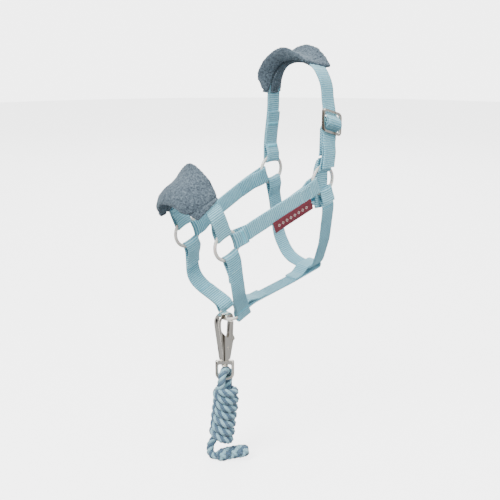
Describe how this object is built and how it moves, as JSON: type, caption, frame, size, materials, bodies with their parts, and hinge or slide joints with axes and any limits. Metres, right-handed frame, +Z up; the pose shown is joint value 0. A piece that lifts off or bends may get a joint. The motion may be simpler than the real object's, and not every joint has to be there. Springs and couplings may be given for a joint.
{
  "type": "toy pony head halter with lead rope",
  "caption": "Small webbing head halter with fleece poll and nose pads, round rings, slider buckle, swivel snap hook and twisted lead rope in a hank.",
  "frame": {"origin": "middle of the poll seat, the underside of the poll pad that lies on the head behind the ears", "axes": "+Z up as worn, -Y towards the nose, +X the near side with the slider and the label"},
  "size_m": [0.0598, 0.1214, 0.2571],
  "materials": {
    "webbing": "ribbed woven webbing, light blue",
    "fleece": "short pile fleece, slate blue",
    "ring_gloss": "glossy off-white",
    "nickel": "polished nickel plate",
    "spring_steel": "bright spring wire",
    "label": "woven burgundy label, plain",
    "rope": "twisted two-colour cord, light blue and slate"
  },
  "bodies": {
    "crown": {"poll_pad": "fleece", "crown_strap": "webbing", "adjuster_loop": "webbing", "slider_frame": "nickel", "upper_ring_near": "ring_gloss", "upper_ring_far": "ring_gloss"},
    "cheeks": {"cheek_strap_near": "webbing", "cheek_strap_far": "webbing", "side_label": "label", "lower_ring_near": "ring_gloss", "lower_ring_far": "ring_gloss"},
    "noseband": {"nose_strap": "webbing", "nose_pad": "fleece"},
    "chin": {"chin_strap_near": "webbing", "chin_strap_far": "webbing", "chin_ring": "ring_gloss"},
    "jaw": {"jaw_strap": "webbing"},
    "throat": {"throat_strap": "webbing"},
    "snap": {"snap_hook": "nickel", "gate_pin": "nickel", "gate_spring": "spring_steel", "swivel_pin": "nickel"},
    "gate": {"snap_gate": "nickel"},
    "swivel": {"swivel_eye": "nickel"},
    "rope": {"rope_eye": "rope", "rope_hank": "rope", "rope_bight": "rope", "rope_end": "rope"}
  },
  "joints": [
    {"name": "cheek_tilt", "type": "hinge", "parent": "crown", "child": "cheeks", "pos_m": [0, 0, -0.0684], "axis": [1, 0, 0], "range_deg": [-30, 35]},
    {"name": "throat_swing", "type": "hinge", "parent": "cheeks", "child": "throat", "pos_m": [0, 0, -0.0684], "axis": [1, 0, 0], "range_deg": [-5, 5]},
    {"name": "chin_swing", "type": "hinge", "parent": "cheeks", "child": "chin", "pos_m": [0, -0.0728, -0.0977], "axis": [1, 0, 0], "range_deg": [-7, 7]},
    {"name": "jaw_swing", "type": "hinge", "parent": "chin", "child": "jaw", "pos_m": [0, -0.04413, -0.14471], "axis": [1, 0, 0], "range_deg": [-9, 9]},
    {"name": "nose_tilt", "type": "hinge", "parent": "cheeks", "child": "noseband", "pos_m": [0, -0.0728, -0.0977], "axis": [1, 0, 0], "range_deg": [-15, 40]},
    {"name": "snap_swing", "type": "hinge", "parent": "chin", "child": "snap", "pos_m": [0, -0.05983, -0.15121], "axis": [1, 0, 0], "range_deg": [-45, 50]},
    {"name": "gate_open", "type": "hinge", "parent": "snap", "child": "gate", "pos_m": [0, -0.05849, -0.17071], "axis": [1, 0, 0], "range_deg": [0, 20], "stiffness_Nm_per_rad": 0.02, "springref_deg": -17.19},
    {"name": "swivel_spin", "type": "hinge", "parent": "snap", "child": "swivel", "pos_m": [0, -0.05983, -0.17921], "axis": [0, 0, 1], "continuous": true},
    {"name": "rope_swing", "type": "hinge", "parent": "swivel", "child": "rope", "pos_m": [0, -0.05983, -0.19201], "axis": [0.6428, 0.766, 0], "range_deg": [-60, 60]}
  ],
  "couplings": [
    {"joint": "chin_swing", "follows": "throat_swing", "ratio": 1.2572},
    {"joint": "jaw_swing", "follows": "throat_swing", "ratio": -1.6392}
  ]
}
